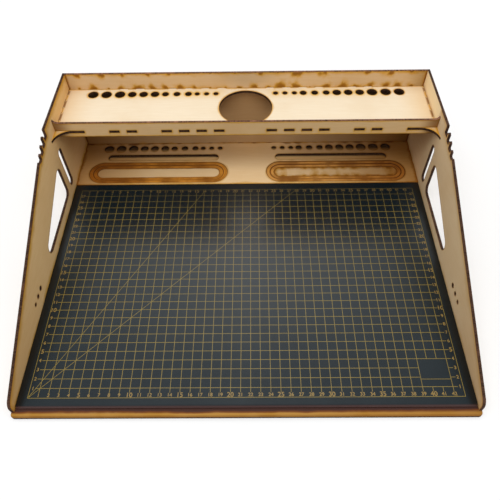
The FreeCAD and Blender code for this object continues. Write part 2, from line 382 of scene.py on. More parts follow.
@shader_group("Mask")
def painted_bay_shade(place):
    """Painted shade under the shelf, darker to the back, to the ends and close under the shelf."""
    x, y, z = place.axes()
    wide, roof = DECK_HIGH.x, SHELF_LOW.z
    off_middle = abs(x)
    side = (x | (wide * -0.1 - x)).graded(wide * 0.3, wide, 1.0, 0.14)
    rear = off_middle.graded(wide * 0.06, wide * 0.27, 0.5, 0.74)
    rear = rear * off_middle.graded(wide * 0.55, wide * 0.85, 1.0, 0.85)
    deep = y.graded(DECK_LOW.y + 25 * MM, DECK_HIGH.y - 12 * MM, 1.0, rear)
    open_middle = off_middle.graded(wide * 0.05, wide * 0.25, 0.75, 0.2)
    close = z.graded(roof * 0.55, roof * 0.95, 1.0, open_middle)
    return (1.0 - side * deep * close) * (z < roof)


@shader_group("Weight")
def painted_mat_sheen(place):
    """Painted sheen and reflection on the mat: the weight of its coat, most in the middle and least along its
    edges, raised a little behind the middle and dimmed towards the rear.
    """
    x, y, _ = place.axes()
    deep = MAT_HIGH.y - MAT_LOW.y
    side = abs(x).graded(0.0, MAT_HIGH.x, 0.88, 0.03, "LINEAR")
    rise = y.graded(MAT_LOW.y + deep * 0.5, MAT_LOW.y + deep * 0.73, 1.0, 1.3)
    rear = y.graded(MAT_LOW.y + deep * 0.75, MAT_HIGH.y, 1.0, 0.3)
    front = y.graded(MAT_LOW.y + 1 * MM, MAT_LOW.y + 4 * MM)
    return (side * rise) * (rear * front)


# Materials

class Coat:
    """Colour of a surface, laid on tone over tone."""

    def __init__(self, place, tone):
        self.tree = place.tree
        self.tone = (*tone, 1)

    def lay(self, amount, tone, blend_type="MIX"):
        """Lays a tone over the coat, as much of it as the amount says."""
        inputs = {0: amount, 6: self.tone, 7: tone if isinstance(tone, Wire) else (*tone, 1)}
        self.tone = wired(self.tree, "ShaderNodeMix", inputs, 2, data_type="RGBA", blend_type=blend_type)

    def smoke_and_shade(self, place):
        """Darkens the coat by the painted shade under the shelf."""
        self.lay(painted_bay_shade(place), bpy.context.scene.board_finish.bay, "MULTIPLY")


def new_material(name):
    """A material, its Principled shader and its Object coordinates."""
    material = bpy.data.materials.new(name)
    material.use_nodes = True
    tree = material.node_tree
    return material, tree.nodes["Principled BSDF"], wired(tree, "ShaderNodeTexCoord", output="Object")


def painted(shader, coat, roughness, specular=0.5):
    """Gives a shader its colour, its roughness and a plain specular level."""
    feed(shader.inputs["Base Color"], coat.tone)
    feed(shader.inputs["Roughness"], roughness)
    feed(shader.inputs["Specular IOR Level"], specular)


def bump(shader, height, strength, reach):
    """Feeds a height to a shader's normal."""
    inputs = {"Strength": strength, "Distance": reach, "Height": height}
    feed(shader.inputs["Normal"], wired(height.tree, "ShaderNodeBump", inputs))


def stretched(axis, along, aside):
    """Noise scales of fibres that lie along one axis."""
    return tuple(along if i == axis else aside for i in range(3))


def board_material(name, face, grain_along, holes, outline, burn=(0.8, 1.0, 0.6), overlay=None, line=0.85):
    """Pale board with faint grain, smoked and scorched beside its cuts.

    holes, outline and burn each give how strong a burn is, its share of the usual reach, and how patchy
    it is. overlay(coat, place, cut, rim) lays this board's own marks on top."""
    finish = bpy.context.scene.board_finish
    material, shader, place = new_material(name)
    cut, rim = (
        wired(place.tree, "ShaderNodeAttribute", output="Fac", attribute_name=label)
        for label in ("cut", "outline")
    )
    fibres = stretched(grain_along, along=45.0, aside=700.0)
    streak, mottle, height = wood_fibre(place, stretch=fibres)
    dark_face = scaled(face, 0.88, 0.80, 0.68)
    coat = Coat(place, face)
    coat.lay(streak * 0.22, dark_face)
    coat.lay(mottle.graded(0.42, 0.75, 0.0, 0.5), dark_face)
    for distance, (amount, reach, patchiness), usual_reach, tone, scale in (
        (rim, outline, finish.smoke_reach, finish.smoke_and_shade, 42.0),
        (cut, holes, finish.smoke_reach, finish.smoke_and_shade, 55.0),
        (cut, burn, finish.scorch_reach, finish.scorch, 62.0),
        (cut, (line, 1.0, 0.4), finish.char_reach, finish.char, 160.0),
    ):
        mask = scorch_mask(
            place, cut=distance, reach=reach * usual_reach, patch_scale=scale, patchiness=patchiness
        )
        coat.lay(mask * amount, tone)
    if overlay:
        overlay(coat, place, cut, rim)
    painted(shader, coat, streak.graded(0.0, 1.0, 0.62, 0.8), specular=0.3)
    bump(shader, height, strength=0.25, reach=0.2 * MM)
    return material


def edge_material(thick_axis, lift=1.0):
    """Charred cut edge, streaked through the board's thickness. A lift over 1 makes it browner and paler."""
    name = "charred_edge_%s_%d" % ("xyz"[thick_axis], round(lift * 10))
    if name in bpy.data.materials:
        return bpy.data.materials[name]
    finish = bpy.context.scene.board_finish
    material, shader, place = new_material(name)
    fibres = stretched(thick_axis, along=90.0, aside=1100.0)
    streak, mottle, height = wood_fibre(place, stretch=fibres, mottle_scale=60.0)
    char = scaled(finish.char, lift)
    coat = Coat(place, char)
    coat.lay(streak, scaled(finish.soot_and_shade, lift))
    coat.lay(mottle.graded(0.5, 0.8, 0.0, 0.7), scaled(char, 1.5))
    painted(shader, coat, streak.graded(0.0, 1.0, 0.65, 0.9), specular=0.12)
    bump(shader, height, strength=0.4, reach=0.3 * MM)
    return material


# Meshes

SHARP_BOARD, SHARP_MAT = math.radians(32), math.radians(40)
CUT_SPACING = 0.4  # millimetres between the points that stand for a cut
RINGS = (0.4, 0.9, 1.7, 2.9, 4.6)  # millimetres from a cut to the rows of points that follow it
ROW_PITCH = 0.7  # spacing of a row's points, as a share of the row's distance from its cut
ROW_CLEAR = 0.93  # least distance of a row's points from any cut, as a share of the same
GRID_RISE = 0.866  # spacing of the grid's rows, as a share of the spacing along them
GRID_CLEAR = 1.25  # least distance of the grid's points from any cut, as a share of the last row's


def added(name, data):
    """A new object in the scene."""
    made = bpy.data.objects.new(name, data)
    bpy.context.scene.collection.objects.link(made)
    return made


def piece(name, mesh, body, slot, *nodes):
    """An object that rides on a body and may stand for CAD nodes."""
    made = added(name, mesh)
    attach(made, body)
    if nodes:
        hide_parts(*nodes)
    return made


def plain_mesh(name, shape, *materials):
    """A mesh with its materials from a finished bmesh."""
    mesh = bpy.data.meshes.new(name)
    shape.to_mesh(mesh)
    shape.free()
    for material in materials:
        mesh.materials.append(material)
    return mesh


def smoothed(mesh, sharp):
    """Smooth shading, broken at edges sharper than an angle."""
    mesh.polygons.foreach_set("use_smooth", [True] * len(mesh.polygons))
    mesh.set_sharp_from_angle(angle=sharp)


def merged_copy(name):
    """Copy of a CAD node's mesh with its doubles merged."""
    shape = bmesh.new()
    shape.from_mesh(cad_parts[name].data)
    bmesh.ops.remove_doubles(shape, verts=shape.verts, dist=MERGE)
    return shape


def board_shape(name, axis):
    """Merged copy of a board with the diagonals of its walls dissolved."""
    shape = merged_copy(name)
    shape.normal_update()
    diagonals = []
    for edge in shape.edges:
        run = edge.verts[1].co - edge.verts[0].co
        upright = abs(run[axis]) > 0.999 * run.length
        if not upright and all(abs(face.normal[axis]) < 0.5 for face in edge.link_faces):
            diagonals.append(edge)
    bmesh.ops.dissolve_edges(shape, edges=diagonals, use_verts=False)
    return shape


def in_mm(metres):
    """A level in millimetres, rounded so that equal levels are the same number."""
    return round(metres / MM, 3)


def divided(start, end, step):
    """Points that divide a straight run evenly, ends included."""
    count = max(1, math.ceil((end - start).length / step - 1e-4))
    return [start.lerp(end, i / count) for i in range(count + 1)]


def in_space(point):
    """A point of a page or of space, with three coordinates."""
    return Vector(point) if len(point) == 3 else Vector((*point, 0))


def cut_finder(starts, ends, spacing):
    """Search tree of points along many straight cuts."""
    points = []
    for start, end in zip(starts, ends):
        points += divided(Vector(start), Vector(end), spacing)
    tree = KDTree(len(points))
    for i, point in enumerate(points):
        tree.insert(in_space(point), i)
    tree.balance()
    return tree


def nearest_cut(points, tree):
    """Distance of each point to the nearest cut."""
    return np.array([tree.find(in_space(point))[2] for point in points])


def enclosed(points, starts, ends):
    """Which points an outline and its holes enclose, by counting crossings."""
    odd = np.zeros(len(points), bool)
    for (au, av), (bu, bv) in zip(starts, ends):
        if av == bv:
            continue
        spans = (av > points[:, 1]) != (bv > points[:, 1])
        odd ^= spans & (points[:, 0] < (bu - au) * (points[:, 1] - av) / (bv - av) + au)
    return odd


def level_points(starts, ends, inward, grid_step):
    """Points inside a flat level, in millimetres: rows that follow its cuts, then an even grid."""
    tree = cut_finder(starts, ends, CUT_SPACING)
    kept = []
    for reach in RINGS:
        row = np.vstack((starts + inward * reach, (starts + ends) / 2 + inward * reach))
        cell = np.round(row / (reach * ROW_PITCH)).astype(int)
        row = row[np.unique(cell, axis=0, return_index=True)[1]]
        row = row[enclosed(row, starts, ends)]
        kept.append(row[nearest_cut(row, tree) > reach * ROW_CLEAR])
    low, high = starts.min(axis=0), starts.max(axis=0)
    us, vs = np.meshgrid(
        np.arange(low[0], high[0], grid_step), np.arange(low[1], high[1], grid_step * GRID_RISE)
    )
    us[1::2] += grid_step / 2
    grid = np.column_stack((us.ravel(), vs.ravel()))
    grid = grid[enclosed(grid, starts, ends)]
    kept.append(grid[nearest_cut(grid, tree) > RINGS[-1] * GRID_CLEAR])
    return np.vstack(kept)


def filled_level(starts, ends, inwards, grid_step):
    """Even triangles that fill a flat level: points in millimetres, and threes of their numbers."""
    index, page, runs = {}, [], []
    for pair in zip(starts, ends):
        run = []
        for point in pair:
            key = (round(point[0], 4), round(point[1], 4))
            if key not in index:
                index[key] = len(page)
                page.append(Vector(point))
            run.append(index[key])
        runs.append(run)
    page += [Vector(point) for point in level_points(starts, ends, inwards, grid_step)]
    corners, _, triangles = delaunay_2d_cdt(page, runs, [], 1, 1e-5)[:3]
    middles = np.array([sum((corners[i] for i in three), Vector((0, 0))) / 3 for three in triangles])
    return corners, [three for three, solid in zip(triangles, enclosed(middles, starts, ends)) if solid]


def level_rim(members, axis, step):
    """Rim of a flat level: its cuts, each corner's next corner, and its short runs in millimetres.

    The runs are three arrays: starts, ends and the way inwards."""
    u, v = PAGE_AXES[axis]
    cuts, onward, runs = [], {}, []
    for face in members:
        for loop in face.loops:
            if all(other in members for other in loop.edge.link_faces):
                continue
            onward[loop.vert] = loop.link_loop_next.vert
            a, b = loop.vert.co.copy(), loop.link_loop_next.vert.co.copy()
            cuts.append((a, b))
            inward = face.normal.cross(b - a).normalized()
            stops = divided(a, b, step)
            for p, q in zip(stops, stops[1:]):
                runs.append([(p[u] / MM, p[v] / MM), (q[u] / MM, q[v] / MM), (inward[u], inward[v])])
    return cuts, onward, [np.array(column) for column in zip(*runs)]


def outer_loop(onward, axis, turn):
    """Cuts of the loop that goes round a whole level, from each corner's next corner."""
    u, v = PAGE_AXES[axis]
    cuts = []
    left = dict.fromkeys(onward)
    while left:
        start = here = next(iter(left))
        loop = []
        while not loop or here is not start:
            left.pop(here, None)
            loop.append((here.co.copy(), onward[here].co.copy()))
            here = onward[here]
        area = sum(a[u] * b[v] - b[u] * a[v] for a, b in loop)
        if (area > 0) == turn:
            cuts += loop
    return cuts


class Sheet:
    """A board's mesh while it grows: points, faces and the faces' material slots."""

    def __init__(self):
        self.places, self.faces, self.slots = [], [], []

    def add(self, places, faces, slot):
        """Adds points and the faces between them."""
        first = len(self.places)
        self.places += [tuple(place) for place in places]
        self.faces += [tuple(first + i for i in face) for face in faces]
        self.slots += [slot] * len(faces)

    def add_wall(self, face, axis, step, pick):
        """Adds a wall as a strip of even faces."""
        corners = [loop.vert.co for loop in face.loops]
        if len(corners) != 4:
            raise RuntimeError(f"a wall has {len(corners)} corners")
        if abs((corners[1] - corners[0])[axis]) > MERGE:
            corners = corners[1:] + corners[:1]
        near, far = divided(corners[0], corners[1], step), divided(corners[3], corners[2], step)
        reach = [in_mm(corner[axis]) for corner in corners]
        for i in range(len(near) - 1):
            strip = [near[i], near[i + 1], far[i + 1], far[i]]
            self.add(strip, [(0, 1, 2, 3)], pick(min(reach), max(reach)))


def board_mesh(name, node_name, axis, pick):
    """Even mesh of a board with a "cut" attribute, the distance to the nearest cut.

    An "outline" attribute is the distance to the outer edge alone. pick(low, high) gives the material slot
    of a wall between two levels, or of a flat level where both are the same."""
    finish = bpy.context.scene.board_finish
    shape = board_shape(node_name, axis)
    u, v = PAGE_AXES[axis]
    sheet, levels = Sheet(), {}
    for face in shape.faces:
        if abs(face.normal[axis]) > SQUARE:
            key = (in_mm(face.verts[0].co[axis]), face.normal[axis] > 0)
            levels.setdefault(key, {})[face] = True
        else:
            sheet.add_wall(face, axis, finish.rim_step, pick)
    heights = [level for level, _ in levels]
    cuts, outer_cuts = [], []
    for (level, faces_up), members in levels.items():
        turn = faces_up != (axis == BACK)
        level_cuts, onward, runs = level_rim(members, axis, finish.rim_step)
        cuts += level_cuts
        if level in (min(heights), max(heights)):
            outer_cuts += outer_loop(onward, axis, turn)
        corners, triangles = filled_level(*runs, finish.grid_step / MM)
        places = []
        for point in corners:
            place = Vector()
            place[u], place[v], place[axis] = point[0] * MM, point[1] * MM, level * MM
            places.append(place)
        sheet.add(places, [three if turn else three[::-1] for three in triangles], pick(level, level))
    shape.free()
    mesh = bpy.data.meshes.new(name)
    mesh.from_pydata(sheet.places, [], sheet.faces)
    mesh.polygons.foreach_set("material_index", sheet.slots)
    merged = bmesh.new()
    merged.from_mesh(mesh)
    bmesh.ops.remove_doubles(merged, verts=merged.verts, dist=MERGE * 2)
    merged.to_mesh(mesh)
    merged.free()
    points = np.empty(len(mesh.vertices) * 3)
    mesh.vertices.foreach_get("co", points)
    for label, found in (("cut", cuts), ("outline", outer_cuts)):
        distance = nearest_cut(points.reshape(-1, 3), cut_finder(*zip(*found), CUT_SPACING * MM))
        mesh.attributes.new(label, "FLOAT", "POINT").data.foreach_set("value", distance)
    smoothed(mesh, SHARP_BOARD)
    return mesh


def cut_board(node_name, axis, materials, pick=None):
    """A board piece in place of its CAD node, faces in slot 0 and edges in slot 1 unless pick is given."""
    name = node_name + "_sheet"
    mesh = board_mesh(name, node_name, axis, pick or (lambda low, high: int(low != high)))
    for material in materials:
        mesh.materials.append(material)
    return piece(name, mesh, "frame", "board", node_name)


# Boards

class WORKSTATION_OT_base_board(bpy.types.Operator):
    """Build the base board, stained along the mat's front edge"""

    bl_idname = "workstation.base_board"
    bl_label = "Base board"

    def execute(self, context):
        finish = context.scene.board_finish
        strip_middle = (MAT_LOW.y + BASE_LOW.y) / 2 - 1.2 * MM

        def stained_and_shaded(coat, place, cut, rim):
            plain = coat.tone
            x, y, z = place.axes()
            # The base under the deck, seen through the sockets and the groove, is painted paler: painted
            # light
            covered = y.graded(MAT_HIGH.y, MAT_HIGH.y + 10 * MM)
            coat.lay(covered * 0.8, BED)
            # Painted shade under the shelf over the base under the deck
            coat.lay(painted_bay_shade(place) * covered, finish.bay, "MULTIPLY")
            # Painted shadow in the sockets and in front of the groove's back wall
            socket = y.graded(TOOL_ROW - 3.8 * MM, TOOL_ROW + 3 * MM, 0.0, 0.9)
            groove = y.graded(GROOVE_REAR - 2.8 * MM, GROOVE_REAR - 1.2 * MM, 0.0, 0.8)
            coat.lay(socket | (groove * (y < GROOVE_REAR + 2 * MM)), SOCKET_SHADE)
            strip = y.graded(MAT_LOW.y + 2 * MM, MAT_LOW.y + 12 * MM, 1.0, 0.0)
            coat.lay(strip * place.noise(40.0, 3.0, 0.6).graded(0.35, 0.7, 0.85, 1.0), finish.strip)
            # Painted highlight: a paler streak along the middle of the strip
            streak = abs(y - strip_middle).graded(0.2 * MM, 2.1 * MM, 0.48, 0.0)
            coat.lay(strip * streak, STRIP_HIGHLIGHT)
            coat.lay(strip * x.graded(0.0, MAT_HIGH.x, 0.0, 0.35), finish.scorch)
            # Dark band along the mat's front edge, partly burn stain and partly painted contact shadow, in
            # the stain tone and then the mat's core colour
            wave = (place.noise(45.0, 3.0) - 0.5) * (3.5 * MM)
            deeper = abs(x).graded(50 * MM, 200 * MM, -0.8 * MM, 0.0)
            ahead = (MAT_LOW.y - y) + (wave + deeper)
            coat.lay(ahead.graded(2.6 * MM, 4.4 * MM, 0.95, 0.0) * strip, finish.stain_and_shadow)
            coat.lay(ahead.graded(1.2 * MM, 2.8 * MM, 0.9, 0.0) * strip, context.scene.mat_finish.core)
            coat.lay(z < (BASE_LOW.z + BASE_HIGH.z) / 2, plain)

        face = board_material(
            "base_face", finish.base_face, ACROSS, holes=(0.4, 0.5, 0.4), outline=(0.6, 0.7, 0.5),
            burn=(0.7, 1.0, 0.6), overlay=stained_and_shaded
        )
        cut_board("base_board", UP, (face, edge_material(UP)))
        return {"FINISHED"}


class WORKSTATION_OT_side_panels(bpy.types.Operator):
    """Build the two side panels"""

    bl_idname = "workstation.side_panels"
    bl_label = "Side panels"

    def execute(self, context):
        finish = context.scene.board_finish
        top, front = SHELF_HIGH.z, FASCIA_HIGH.y

        def side_light_and_shade(crown_tone, amount):
            def overlay(coat, place, cut, rim):
                plain = coat.tone
                x, y, z = place.axes()
                # Browner towards the front
                coat.lay(y.graded(MAT_LOW.y * 0.1, MAT_LOW.y * 0.95, 0.0, 0.4), FRONT_TONE)
                # Crown above the shelf: painted light, paler on the right panel and yellower on the left
                crown = z.graded(top, top + 6 * MM, 0.0, amount)
                coat.lay(crown * y.graded(front, front + 6 * MM), crown_tone)
                # Painted shade inside the bay, deeper towards the back and close under the shelf
                inside = y.graded(front - 30 * MM, front + 55 * MM, 0.0, 0.6)
                inside = inside * z.graded(top * 0.2, top * 0.8, 0.4, 1.0)
                coat.lay(inside * (z < top - 3 * MM), finish.bay, "MULTIPLY")
                coat.lay(abs(x) > (SIDE_LOW.x + SIDE_HIGH.x) / 2, plain)
            return overlay

        for side, tone, haze, overlay in (
            ("left", finish.left_face, 0.95, side_light_and_shade(finish.smoke_and_shade, 0.25)),
            ("right", finish.right_face, 0.45, side_light_and_shade(RIGHT_CROWN_LIGHT, 0.9)),
        ):
            face = board_material(
                side + "_face", tone, BACK, holes=(0.4, 0.4, 0.5), outline=(haze, 1.7, 0.4),
                burn=(0.85, 1.3, 0.5), overlay=overlay
            )
            cut_board(side + "_side_panel", ACROSS, (face, edge_material(ACROSS, SIDE_LIFT)))
        return {"FINISHED"}


class WORKSTATION_OT_rear_panel(bpy.types.Operator):
    """Build the rear panel"""

    bl_idname = "workstation.rear_panel"
    bl_label = "Rear panel"

    def execute(self, context):
        finish = context.scene.board_finish
        roof = SHELF_LOW.z

        def flared_and_shaded(coat, place, cut, rim):
            plain = coat.tone
            x, y, z = place.axes()
            off_middle = abs(x)
            for away, pitch, width, reach in (
                (WALL_HIGH.z - z, 27.5 * MM, 9.5 * MM, 9.5 * MM),
                (z - SHELF_HIGH.z, 18.5 * MM, 10.5 * MM, 11.5 * MM),
            ):
                mask = burn_flares(place, along=x, away=away, pitch=pitch, width=width, reach=reach)
                mask = mask * (away > -0.01 * MM)
                coat.lay(mask.graded(0.0, 0.8, 0.0, 0.95), finish.smoke_and_shade)
                coat.lay(mask.graded(0.4, 0.9, 0.0, 0.85), finish.scorch)
            # Painted shade towards both ends, in the corners by the side panels
            right_end = x.graded(MAT_HIGH.x - 35 * MM, MAT_HIGH.x + 5 * MM)
            left_end = x.graded(MAT_LOW.x + 25 * MM, MAT_LOW.x - 10 * MM, 0.0, 0.5)
            coat.lay(right_end | left_end, WALL_END_SHADE, "MULTIPLY")
            coat.lay(off_middle.graded(MAT_HIGH.x - 2.5 * MM, MAT_HIGH.x, 0.0, 0.85), finish.scorch)
            # Painted shade under the shelf
            coat.smoke_and_shade(place)
            # Painted shade on the wall below the shelf, seen through the shelf's holes, in the soot colour
            behind = off_middle.graded(14 * MM, 58 * MM, 0.0, 0.85) * z.graded(roof - 42 * MM, roof - 14 * MM)
            coat.lay(behind * (z < roof), finish.soot_and_shade)
            coat.lay(y > (WALL_LOW.y + WALL_HIGH.y) / 2, plain)

        face = board_material(
            "wall_face", finish.wall_face, ACROSS, holes=(0.6, 0.9, 1.0), outline=(0.75, 0.8, 0.9),
            burn=(0.6, 1.2, 1.0), overlay=flared_and_shaded
        )
        cut_board("rear_panel", BACK, (face, edge_material(BACK, WALL_LIFT)))
        return {"FINISHED"}


class WORKSTATION_OT_rear_deck(bpy.types.Operator):
    """Build the rear deck with its sockets, grooves and engraved trays"""

    bl_idname = "workstation.rear_deck"
    bl_label = "Rear deck"

    def execute(self, context):
        finish = context.scene.board_finish
        ring_pitch = 1.35 * MM
        top, under = in_mm(DECK_HIGH.z), in_mm(DECK_LOW.z)
        floor_level = min(
            in_mm(face.center[2]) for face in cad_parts["rear_deck"].data.polygons
            if face.normal.z > SQUARE
        )

        def smoked_and_shaded(coat, place, cut, rim):
            x, y, _ = place.axes()
            inside = MAT_HIGH.x - abs(x)
            ends = scorch_mask(place, cut=inside, reach=4 * MM, patch_scale=70.0, patchiness=0.9)
            rear = burn_flares(
                place, along=x, away=DECK_HIGH.y - y, pitch=21 * MM, width=10.5 * MM, reach=5.5 * MM
            )
            coat.lay(rear.graded(0.0, 0.8, 0.0, 0.75), finish.scorch)
            # Painted shade under the shelf
            coat.smoke_and_shade(place)
            coat.lay(ends * 0.85, finish.scorch)

        def ringed(coat, place, cut, rim):
            x = place.axes()[0]
            dark = scaled(finish.engraving, 0.27, 0.19, 0.11)
            patchy = place.noise(34.0, 3.0) + x.graded(-20 * MM, 20 * MM, -0.3, 0.12)
            coat.lay(patchy.graded(0.3, 0.7, 0.0, 0.7), TRAY_PATCH)
            coat.lay(place.noise(26.0, 3.0).graded(0.42, 0.66, 0.0, 0.6), dark)
            lines = (cut * (2 * math.pi / ring_pitch)).reckon("SINE")
            coat.lay(lines.graded(0.2, 1.0) * place.noise(60.0, 3.0).graded(0.35, 0.7, 0.0, 0.75), dark)
            wide = x.graded(-20 * MM, 20 * MM, 0.9 * MM, 1.5 * MM)
            coat.lay(cut.graded(0.3 * MM, wide, 0.95, 0.0), dark)
            # Painted shade under the shelf over the terraces
            coat.smoke_and_shade(place)

        def scalloped(coat, place, cut, rim):
            x = place.axes()[0]
            right = x > 0.0
            uneven = place.noise(90.0).graded(0.35, 0.6, 0.45, 1.0)
            coat.lay(cut.graded(0.0, 5 * MM, 0.95, 0.15) * uneven * right, TRAY_HAZE)
            mask = burn_flares(place, along=x, away=cut, pitch=14 * MM, width=10 * MM, reach=9 * MM) * right
            coat.lay(mask, TRAY_FLARE)
            coat.lay(mask.graded(0.6, 1.0, 0.0, 0.7), finish.scorch)
            # Painted shade under the shelf over the tray floors
            coat.smoke_and_shade(place)

        no_outline = (0.0, 1.0, 0.0)
        deck = board_material(
            "deck_face", finish.deck_face, ACROSS, holes=(0.65, 0.6, 0.5), outline=(0.6, 0.8, 0.7),
            burn=(0.5, 1.0, 0.7), overlay=smoked_and_shaded, line=0.4
        )
        engraved = board_material(
            "tray_terraces", finish.engraving, ACROSS, holes=(0.0, 0.3, 0.5), outline=no_outline,
            burn=(0.8, 0.7, 0.8), overlay=ringed
        )
        floor = board_material(
            "tray_floor", scaled(finish.deck_face, 0.86), ACROSS, holes=(0.6, 0.35, 0.8), outline=no_outline,
            burn=(0.5, 0.6, 0.8), overlay=scalloped
        )
        step = board_material(
            "tray_steps", scaled(finish.engraving, 0.26), ACROSS, holes=(0.3, 0.3, 0.5), outline=no_outline
        )

        def pick(low, high):
            if low == high:
                return 0 if low in (top, under) else 3 if low == floor_level else 2
            return 1 if low == under else 4

        cut_board("rear_deck", UP, (deck, edge_material(UP), engraved, floor, step), pick)
        return {"FINISHED"}


class WORKSTATION_OT_upper_shelf(bpy.types.Operator):
    """Build the upper shelf"""

    bl_idname = "workstation.upper_shelf"
    bl_label = "Upper shelf"

    def execute(self, context):
        finish = context.scene.board_finish
        bay, front = MAT_HIGH.x, FASCIA_LOW.y

        def dashed(coat, place, cut, rim):
            x, y, _ = place.axes()
            off_middle = abs(x)
            end = off_middle.graded(bay - 2.8 * MM, bay - 0.6 * MM)
            coat.lay(off_middle.graded(bay * 0.8, bay, 0.0, 0.3), SHELF_END)
            coat.lay(end * 0.35, finish.smoke_and_shade)
            coat.lay(end * rim.graded(2.6 * MM, 3.4 * MM) * 0.8, finish.scorch)
            coat.lay(y.graded(front - 0.5 * MM, front + 0.5 * MM, 0.48, 0.0), finish.smoke_and_shade)
            row = abs(y - TOOL_ROW).graded(4 * MM, 14 * MM, 0.28, 0.0) * off_middle.graded(20 * MM, 35 * MM)
            coat.lay(row * off_middle.graded(160 * MM, 185 * MM, 1.0, 0.0), TOOL_HAZE)

        face = board_material(
            "shelf_face", finish.shelf_face, ACROSS, holes=(0.9, 0.6, 0.4), outline=(0.5, 0.5, 0.9),
            burn=(0.8, 0.8, 0.6), overlay=dashed
        )
        # The underside is a darker, browner copy of the shelf's face: painted shade
        under = board_material(
            "shelf_underside", scaled(finish.shelf_face, 0.72, 0.56, 0.36), ACROSS,
            holes=(0.6, 0.8, 0.5), outline=(0.7, 1.2, 0.6)
        )
        under_level = in_mm(SHELF_LOW.z)

        def pick(low, high):
            return 1 if low != high else 2 if low == under_level else 0

        cut_board("upper_shelf", UP, (face, edge_material(UP), under), pick)
        return {"FINISHED"}


class WORKSTATION_OT_shelf_fascia(bpy.types.Operator):
    """Build the fascia along the shelf's front edge"""

    bl_idname = "workstation.shelf_fascia"
    bl_label = "Shelf fascia"

    def execute(self, context):
        def ends(coat, place, cut, rim):
            # Painted shade towards both ends, in the corners by the side panels
            coat.lay(abs(place.axes()[0]).graded(200 * MM, 224.5 * MM, 0.0, 0.85), FASCIA_END_SHADE)

        face = board_material(
            "fascia_face", context.scene.board_finish.fascia_face, ACROSS, holes=(0.8, 0.55, 0.4),
            outline=(0.35, 0.5, 0.5), burn=(0.6, 0.7, 0.6), overlay=ends
        )
        cut_board("shelf_fascia", BACK, (face, edge_material(BACK, WALL_LIFT)))
        return {"FINISHED"}


# Cutting mat

# Places on the print, in cells: a bare box and the line in it, from the grid's front left corner
BARE_COLUMNS = (39, 42)
BARE_ROWS = (1, 4)
BARE_SILL = 1.8
BARE_TRIM = 0.1  # how far inside the box's edges the bare place starts
SHORT_END = 0.52  # how far a line stops short of the frame
NUMERAL_INSET = 0.27  # from the frame to the middle of a number

# Shares of the ink's thickness, so that prints that cross don't share a level
GRID_LIFT, ACROSS_EXTRA, NUMERAL_RISE = 0.7, 0.3, 1.2
ANGLE_SHARE = 0.9  # width and thickness of the angle lines, as shares of the grid lines' own


def lay_painted_sheen(shader, place):
    """Lays the mat's painted sheen over a shader."""
    feed(shader.inputs["Coat Weight"], painted_mat_sheen(place))
    feed(shader.inputs["Coat IOR"], 1.75)
    feed(shader.inputs["Coat Roughness"], 0.36)


def mat_skin():
    """Dark pebbled vinyl with a reddish core showing on its cut edge."""
    finish = bpy.context.scene.mat_finish
    material, shader, place = new_material("mat_skin")
    x, y, z = place.axes()
    mottle = place.noise(30.0, 4.0, 0.6)
    coat = Coat(place, finish.skin)
    coat.lay(mottle.graded(0.35, 0.75, 0.0, 0.3), scaled(finish.skin, 1.5))
    coat.lay(z.graded(MAT_HIGH.z - 1.2 * MM, MAT_HIGH.z - 0.3 * MM, 1.0, 0.0), finish.core)
    # Painted shadow of the side panels along the mat's left and right edges
    coat.lay(abs(x).graded(MAT_HIGH.x - 11 * MM, MAT_HIGH.x - 3 * MM, 0.0, 0.75), scaled(finish.skin, 0.1))
    coat.lay(y.graded(MAT_LOW.y + 0.8 * MM, MAT_LOW.y + 2.8 * MM, 1.0, 0.0), finish.core)
    painted(shader, coat, mottle.graded(0.3, 0.7, 0.32, 0.38), specular=0.4)
    lay_painted_sheen(shader, place)
    bump(shader, place.noise(2200.0), strength=0.15, reach=0.1 * MM)
    return material


def mat_ink(name, tone):
    """Matt gold ink, rubbed thin in places and faded towards the rear as painted shade."""
    skin = bpy.context.scene.mat_finish.skin
    material, shader, place = new_material(name)
    rubbed = place.noise(45.0, 4.0, 0.7).graded(0.4, 0.8, 0.0, 0.6)
    coat = Coat(place, tone)
    coat.lay(rubbed, [i * 0.6 + s * 0.4 for i, s in zip(tone, skin)])
    # Painted shade: the ink fades into the skin towards the rear
    coat.lay(place.axes()[1].graded(MAT_HIGH.y - 50 * MM, MAT_HIGH.y - 12 * MM, 0.0, 0.5), skin)
    painted(shader, coat, rubbed.graded(0.0, 1.0, 0.55, 0.7))
    lay_painted_sheen(shader, place)
    return material


class WORKSTATION_OT_cutting_mat(bpy.types.Operator):
    """Build the cutting mat with softly rounded edges"""

    bl_idname = "workstation.cutting_mat"
    bl_label = "Cutting mat"

    def execute(self, context):
        shape = merged_copy("cutting_mat")
        flat = [e for e in shape.edges if all(abs(f.normal.z) > SQUARE for f in e.link_faces)]
        bmesh.ops.dissolve_edges(shape, edges=flat, use_verts=False)
        rims = [e for e in shape.edges if any(abs(f.normal.z) > SQUARE for f in e.link_faces)]
        bmesh.ops.bevel(
            shape, geom=rims, offset=context.scene.mat_finish.rounding, offset_type="OFFSET",
            segments=3, profile=0.5, affect="EDGES", clamp_overlap=True
        )
        bmesh.ops.triangulate(shape, faces=shape.faces)
        mesh = plain_mesh("cutting_mat_sheet", shape, mat_skin())
        smoothed(mesh, SHARP_MAT)
        piece("cutting_mat_sheet", mesh, "mat", "mat", "cutting_mat")
        return {"FINISHED"}


